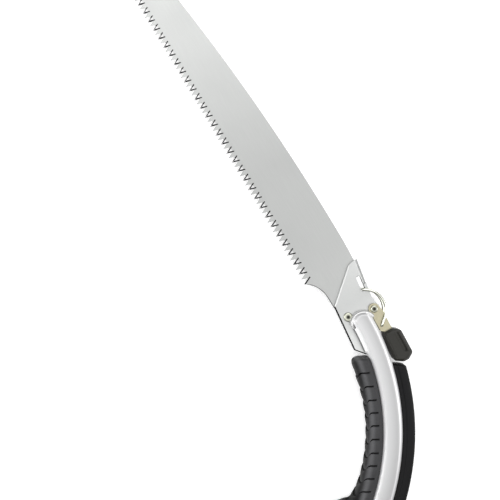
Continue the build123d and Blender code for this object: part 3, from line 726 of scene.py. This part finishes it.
path = bead_path()
bead_tones = []
for here in path[:-1]:
    on_nose = here.y > NOSE_LOW[1] and here.x < NOSE_HIGH[0]
    bead_tones += [ON_NOSE if on_nose else ON_SIDE] * BEAD_AROUND
verts, faces, tones = [], [], []
for side in (1, -1):
    faces += stack(len(verts), len(path), BEAD_AROUND)
    tones += bead_tones + [ON_SIDE, ON_NOSE]
    for k in range(len(path)):
        verts += bead_ring(path, k, side)
    faces += stack(len(verts), BLOB_ROWS, BLOB_AROUND)
    tones += [ON_BLOB] * (len(faces) - len(tones))
    for row in range(BLOB_ROWS):
        verts += blob_ring(row, side)
piece(
    "weld_run", verts, faces, "frame", "weld_beads",
    mats=[weld_side, weld_nose, weld_metal], face_mats=tones, sharp=60.0,
)

# ---------------------------------------------------------------- front grip
GROOVES = [13.86, 17.74, 21.55, 25.06, 28.61, 32.36, 36.11, 39.63, 43.23, 46.88]
RIB_STEP = 3.7
GROOVE_FROM, GROOVE_TO = -0.34, 0.24  # a groove's edges, in degrees from its middle
GROOVE_DEEP = -0.5
RIB_LOW, RIB_HIGH, RIB_BULGE = -0.3, 0.42, 0.22
START, END = 9.75, 60.0
START_R, END_R = 165, 150  # the radii at which the distance to each end is measured
START_ROUND, END_ROUND = (8.6, 1.2, 3.0), (3.6, 1.5, 3.2)  # inwards, outwards and upwards
INNER, LIP, SECTION_FIXED_R = 158.2, 171.7, 168.3
TUBE_SIDE = 4  # the section's points up to this one lie against the tube and stay there
# one half of the section, from the tube round to the middle of the inner side: radius, height,
# how far the ribs show (0 on the smooth rail) and how far the grooves lean back (0 to 1)
SECTION = [
    (171.45, 0.0, 0, 0), (171.45, 2.2, 0, 0), (171.45, 4.4, 0, 0), (171.46, 5.7, 0, 0),
    (171.6, 6.8, 0, 0), (171.7, 7.5, 0, 0), (171.7, 8.8, 0, 0), (171.65, 9.6, 0, 0),
    (171.4, 10.4, 0, 0), (171.0, 11.1, 0, 0), (170.4, 11.6, 0, 0), (169.8, 11.95, 0, 0),
    (169.2, 12.2, 0, 0), (168.7, 12.32, 0, 0), (168.3, 12.4, 0.15, 0), (167.8, 12.45, 0.75, 0),
    (167.2, 12.6, 1, 0), (166.3, 12.75, 1, 0), (165.3, 12.8, 1, 0), (164.2, 12.65, 1, 0.0),
    (163.2, 12.3, 1, 0.0), (162.2, 11.7, 1, 0.0), (161.3, 10.95, 1, 0.04), (160.5, 10.0, 1, 0.14),
    (159.8, 8.9, 1, 0.34), (159.2, 7.6, 1, 0.6), (158.75, 6.2, 1, 0.82), (158.45, 4.7, 1, 0.94),
    (158.25, 3.0, 1, 0.99), (158.2, 1.4, 1, 1.0), (158.2, 0.0, 1, 1.0),
]
PROFILE = [  # along a rib, in degrees after its groove's middle: how proud or sunk, in mm
    (GROOVE_FROM, 0.0), (-0.25, -0.3), (-0.2, -1.15), (0.05, -1.3), (0.12, -0.8),
    (GROOVE_TO, 0.0),
]
INNER_KNOTS = [  # angle and radius of the finger side, with the nose and the pommel
    (9.0, 157.2), (10.4, 156.8), (12.0, 157.3), (14.0, 158.3), (20.0, 159.4), (27.0, 160.2),
    (35.0, 160.2), (42.0, 159.7), (45.0, 158.9), (46.6, 158.2), (49.0, 156.4), (51.5, 152.8),
    (52.4, 150.9), (53.4, 148.2), (54.7, 143.6), (56.0, 139.0), (57.2, 136.2), (58.6, 136.0),
    (60.0, 141.0), (61.0, 146.0),
]
KNOT_SMOOTHING = ((-0.8, 1), (-0.4, 2), (0.0, 3), (0.4, 2), (0.8, 1))
# how the grooves lie: their slant follows the angle from GRIP_TURN between two limits, is turned
# back near the front end and fades before the pommel, and they lean by LEAN on the inner side
GRIP_TURN, SLANT_LIMITS, FRONT_TILT, LEAN = 26.0, (-14.0, 24.0), 15.0, 1.95
SLANT_R, SLANT_LEAST_R = 164.0, 156.0
TILT_FADES, SLANT_FADES = (10.5, 14.0), (49.5, 53.0)  # degrees
LEAN_STARTS, LEAN_FADES = (11.5, 15.0), (48.5, 52.0)  # degrees
TUBE_FADES, TUBE_SHARE = (166.0, 169.5), 0.4  # radii over which the slant eases, and by how much
SIDE_HEIGHTS = (10.5, 6.5)  # from the broad side to the inner side, where the ribs stand prouder
SIDE_PROUD, SIDE_CUT, UP_SHARE = 0.9, 0.6, 0.9
LAST_RIB_FADES = (0.3, 1.0)  # shares of the last rib's length
# station steps in degrees: at the front end, before the first groove, per rib, on the pommel and
# at the butt end
START_STEPS = (0.0, 0.02, 0.06, 0.12, 0.2, 0.3, 0.42, 0.56, 0.72, 0.9, 1.1, 1.35)
PLAIN_FROM, PLAIN_GAP, PLAIN_STEP = 1.6, 0.4, 0.3
RIB_STATIONS = 12
POMMEL_STEP, BUTT_STRETCH, BUTT_STEP = 0.25, 1.6, 0.12


def inner_radius(angle):
    """Radius of the grip's finger side along the handle, in straight steps between the knots."""
    for (a0, r0), (a1, r1) in zip(INNER_KNOTS, INNER_KNOTS[1:]):
        if angle <= a1:
            t = (angle - a0) / (a1 - a0)
            return r0 + (r1 - r0) * t
    return INNER_KNOTS[-1][1]


def smooth_inner(angle):
    """The finger side's radius, averaged over a short stretch."""
    total = sum(weight for _, weight in KNOT_SMOOTHING)
    return sum(weight * inner_radius(angle + off) for off, weight in KNOT_SMOOTHING) / total


def groove_end(k):
    """The angle at which the rib after a groove gives way to the next groove."""
    after = GROOVES[k + 1] if k + 1 < len(GROOVES) else GROOVES[k] + RIB_STEP
    return after + GROOVE_FROM


def rib_height(angle):
    """The ribs' slope and the grooves' cut at a station, in mm, proud (+) or sunk (-)."""
    for k, groove in enumerate(GROOVES):
        if not groove + GROOVE_FROM <= angle < groove_end(k):
            continue
        off = angle - groove
        if off < GROOVE_TO:
            for (a0, h0), (a1, h1) in zip(PROFILE, PROFILE[1:]):
                if off <= a1:
                    low = RIB_LOW if k else 0.0
                    blend = (off - GROOVE_FROM) / (GROOVE_TO - GROOVE_FROM)
                    cut = h0 + (h1 - h0) * (off - a0) / (a1 - a0)
                    return low * (1 - blend) + RIB_HIGH * blend, cut
        t = (off - GROOVE_TO) / (groove_end(k) - groove - GROOVE_TO)
        fade = 1.0 if k + 1 < len(GROOVES) else 1 - smoothstep(*LAST_RIB_FADES, t)
        slope = RIB_HIGH + (RIB_LOW - RIB_HIGH) * t + RIB_BULGE * math.sin(math.pi * t)
        return slope * fade, 0.0
    return 0.0, 0.0


def stations():
    """Station angles: close together at each groove, wider along the ribs."""
    out = [START + off for off in START_STEPS]

    def march(angle, stop, step):
        while angle < stop:
            out.append(angle)
            angle += step
        return angle

    march(START + PLAIN_FROM, GROOVES[0] - PLAIN_GAP, PLAIN_STEP)
    for k, groove in enumerate(GROOVES):
        out.extend(groove + off for off, _ in PROFILE)
        first, last = groove + GROOVE_TO, groove_end(k)
        out.extend(
            first + (last - first) * (j + 1) / RIB_STATIONS for j in range(RIB_STATIONS - 1)
        )
    angle = march(groove_end(len(GROOVES) - 1), END - BUTT_STRETCH, POMMEL_STEP)
    march(angle, END, BUTT_STEP)
    return out + [END]


def section_normals():
    """Outward direction in radius and height at each point of the half section."""
    out = []
    for k in range(len(SECTION)):
        a = SECTION[max(0, k - 1)]
        b = SECTION[min(len(SECTION) - 1, k + 1)]
        dr, dz = b[0] - a[0], b[1] - a[1]
        length = math.hypot(dr, dz)
        out.append((dz / length, -dr / length))
    return out


normals = section_normals()


def grip_ring(angle):
    """The grip's ring at a station, with its ribs, grooves, slant and rounded ends."""
    stretch = (LIP - smooth_inner(angle)) / (LIP - INNER)
    slope, cut = rib_height(angle)
    low, high = SLANT_LIMITS
    slant = max(low, min(high, angle - GRIP_TURN))
    slant -= FRONT_TILT * (1 - smoothstep(*TILT_FADES, angle))
    skew = math.tan(math.radians(slant)) * (1 - smoothstep(*SLANT_FADES, angle))
    lean_here = (1 - smoothstep(*LEAN_FADES, angle)) * smoothstep(*LEAN_STARTS, angle)
    from_start = arc_length(angle - START, START_R)
    from_end = arc_length(END - angle, END_R)
    draw_in, draw_out, draw_up = (
        max(round_end(from_start, at_start), round_end(from_end, at_end))
        for at_start, at_end in zip(START_ROUND, END_ROUND)
    )
    half = []
    for k, (r, height, shown, lean) in enumerate(SECTION):
        radius = LIP - (LIP - r) * stretch if r < SECTION_FIXED_R else r
        if k > TUBE_SIDE:
            n_r, n_z = normals[k]
            on_side = smoothstep(*SIDE_HEIGHTS, height) if shown else 0.0
            proud = slope * (1.0 + SIDE_PROUD * on_side) + cut * (1.0 - SIDE_CUT * on_side)
            radius += n_r * (proud * shown - (draw_in if n_r < 0 else draw_out))
            height += abs(n_z) * (proud * shown * UP_SHARE - draw_up)
        near_tube = 1.0 - TUBE_SHARE * smoothstep(*TUBE_FADES, radius)
        back = math.degrees((SLANT_R - max(SLANT_LEAST_R, radius)) * skew / SLANT_R) * near_tube
        half.append((radius, angle + back + LEAN * lean * lean_here, max(0.0, height)))
    return whole_ring(half)


places = stations()
verts, faces = sweep_rings([grip_ring(angle) for angle in places])
around = 2 * (len(SECTION) - 1)
# faces down in a groove take the painted groove shade
tones = []
for a, b in zip(places, places[1:]):
    sunk = rib_height((a + b) / 2)[1] < GROOVE_DEEP
    tones += [int(sunk and SECTION[min(j, around - j)][2] > 0.5) for j in range(around)]
tones += [0] * (len(faces) - len(tones))
piece(
    "ribbed_grip", verts, faces, "frame", "front_grip",
    mats=[rubber, groove_painted_shade], face_mats=tones, sharp=60.0,
)

# ---------------------------------------------------------------- back strip
STRIP_START, STRIP_END, STRIP_END_R, STRIP_ROUND = 14.25, 60.4, 190, 1.3
STRIP_END_STEPS = (0.0, 0.08, 0.2, 0.4, 0.65)
STRIP_STEP, STRIP_END_GAP = 0.35, 1.0
STRIP_OUTER, STRIP_SIDE = (191.0, 197.5), (4.0, 9.0)  # radii and heights that are drawn in
STRIP_SEAT = 3  # the section's first points lie against the tube and aren't drawn in
STRIP_LEAN, STRIP_LEAN_FADES, STRIP_LEAN_R, STRIP_DEPTH = 0.9, (0.0, 4.0), 188.5, 9.0
STRIP_SECTION = [
    (187.52, 0.0), (187.52, 2.2), (187.52, 4.4), (187.5, 6.6), (187.6, 8.0), (187.9, 8.35),
    (188.6, 8.45), (189.6, 8.5), (190.3, 8.55), (190.55, 8.75), (190.7, 9.2), (191.0, 9.45),
    (191.6, 9.5), (193.0, 9.5), (194.4, 9.45), (195.4, 9.2), (196.2, 8.75), (196.9, 8.05),
    (197.3, 7.2), (197.5, 6.2), (197.5, 3.0), (197.5, 0.0),
]


def strip_ring(angle):
    """The strip's ring at a station, rounded and leaning at the strip's ends."""
    from_end = min(angle - STRIP_START, STRIP_END - angle)
    draw = round_end(arc_length(from_end, STRIP_END_R), STRIP_ROUND)
    lean = STRIP_LEAN * (1 - smoothstep(*STRIP_LEAN_FADES, angle - STRIP_START))
    lean -= STRIP_LEAN * (1 - smoothstep(*STRIP_LEAN_FADES, STRIP_END - angle))
    half = []
    for k, (r, z) in enumerate(STRIP_SECTION):
        if k >= STRIP_SEAT:
            r -= draw * smoothstep(*STRIP_OUTER, r)
            z -= draw * smoothstep(*STRIP_SIDE, z)
        half.append((r, angle + lean * (r - STRIP_LEAN_R) / STRIP_DEPTH, z))
    return whole_ring(half)


strip_angles = [STRIP_START + off for off in STRIP_END_STEPS]
angle = STRIP_START + STRIP_END_GAP
while angle < STRIP_END - STRIP_END_GAP:
    strip_angles.append(angle)
    angle += STRIP_STEP
strip_angles += [STRIP_END - off for off in reversed(STRIP_END_STEPS)]
verts, faces = sweep_rings([strip_ring(angle) for angle in strip_angles])
piece(
    "spine_strip", verts, faces, "frame", "back_strip",
    mats=[strip_plastic], face_mats=None, sharp=40.0,
)

# ---------------------------------------------------------------- lever grip
LEVER_OUTLINE = [
    (64.7, 33.0), (70.0, 30.6), (88.2, 29.0), (92.4, 35.0), (92.7, 39.4), (89.6, 44.9),
    (69.4, 45.8), (65.0, 40.6),
]
LEVER_ROUND = [1.2, 3.0, 2.2, 2.4, 2.6, 3.2, 3.4, 3.0]
CORNER_STEPS, OUTLINE_GAP = 8, 0.45
WALL_HEIGHTS = (-6.65, -3.3, 0.0, 3.3, 6.65)
LEVER_TOP, LAYERS = 8.55, 34
MEDIAL = Vector((71.5, 38.0)), Vector((86.0, 37.2))
CHANNEL = Vector((70.0, 42.1)), Vector((84.2, 41.5))
SEAM = Vector((66.5, 33.4)), Vector((88.0, 31.6))
DIMPLE = Vector((85.3, 41.0))
# how much each feature sinks or rises, and the distances over which it fades
EDGE_DROP, EDGE_RANGE, EDGE_POWER = 1.9, (0.0, 2.6), 1.5
CHANNEL_DEEP, CHANNEL_RANGE = 0.75, (0.25, 0.75)
RIM_HIGH, RIM_AT, RIM_RANGE = 0.22, 1.2, (0.5, 1.5)
DIMPLE_DEEP, DIMPLE_RANGE = 1.3, (0.55, 1.05)
SEAM_DEEP, SEAM_RANGE = 0.28, (0.15, 0.55)


def rounded(points, radii):
    """A closed outline with each corner rounded, as evenly spaced points."""
    out = []
    total = len(points)
    for k in range(total):
        before, here, after = (Vector(points[(k + d) % total]) for d in (-1, 0, 1))
        a, b = (before - here).normalized(), (after - here).normalized()
        half = a.angle(b) / 2
        reach = radii[k] / math.tan(half)
        centre = here + (a + b).normalized() * (radii[k] / math.sin(half))
        p, q = here + a * reach, here + b * reach
        t0 = math.atan2(p.y - centre.y, p.x - centre.x)
        t1 = math.atan2(q.y - centre.y, q.x - centre.x)
        sweep = (t1 - t0 + math.pi) % (2 * math.pi) - math.pi
        for j in range(CORNER_STEPS + 1):
            t = t0 + sweep * j / CORNER_STEPS
            out.append(centre + Vector((math.cos(t), math.sin(t))) * radii[k])
    dense = []
    for a, b in zip(out, out[1:] + out[:1]):
        parts = max(1, int((b - a).length / OUTLINE_GAP + 0.5))
        dense += [a.lerp(b, j / parts) for j in range(parts)]
    return dense


def nearest(point, segment):
    """The nearest place to a point on a segment."""
    a, b = segment
    line = b - a
    return a + line * max(0.0, min(1.0, (point - a).dot(line) / line.length_squared))


def lever_height(point, inset):
    """Height of the grip's broad side above the saw's middle plane: rounded towards its edge,
    with a channel that has a raised rim and ends in a dimple, and a moulding seam."""
    z = LEVER_TOP - EDGE_DROP * (1 - smoothstep(*EDGE_RANGE, inset)) ** EDGE_POWER
    from_channel = (point - nearest(point, CHANNEL)).length
    z -= CHANNEL_DEEP * (1 - smoothstep(*CHANNEL_RANGE, from_channel))
    z += RIM_HIGH * (1 - smoothstep(*RIM_RANGE, abs(from_channel - RIM_AT)))
    z -= DIMPLE_DEEP * (1 - smoothstep(*DIMPLE_RANGE, (point - DIMPLE).length))
    z -= SEAM_DEEP * (1 - smoothstep(*SEAM_RANGE, (point - nearest(point, SEAM)).length))
    return z


outline = rounded(LEVER_OUTLINE, LEVER_ROUND)
count = len(outline)
levels = []
for layer in range(1, LAYERS + 1):
    shrunk = [p.lerp(nearest(p, MEDIAL), layer / LAYERS) for p in outline]
    levels.append([(q, lever_height(q, (q - p).length)) for p, q in zip(outline, shrunk)])
verts, faces = [], []


def add_ring(points):
    """Adds a ring's vertices and returns where they start."""
    start = len(verts)
    verts.extend(points)
    return start


wall = [add_ring([at(p.x, p.y, z) for p in outline]) for z in WALL_HEIGHTS]
for a, b in zip(wall, wall[1:]):
    faces += band(a, b, count)
for side, previous in ((1, wall[-1]), (-1, wall[0])):
    for level in levels:
        now = add_ring([at(q.x, q.y, side * z) for q, z in level])
        faces += band(previous, now, count)
        previous = now
    # the last ring lies on the medial line, so opposite points are joined across it
    faces += [
        (previous + k, previous + k + 1, previous + count - 2 - k, previous + count - 1 - k)
        for k in range(count // 2 - 1)
    ]
piece(
    "lever_cover", verts, faces, "lever", "lever_grip",
    mats=[lever_plastic], face_mats=None, sharp=50.0,
)
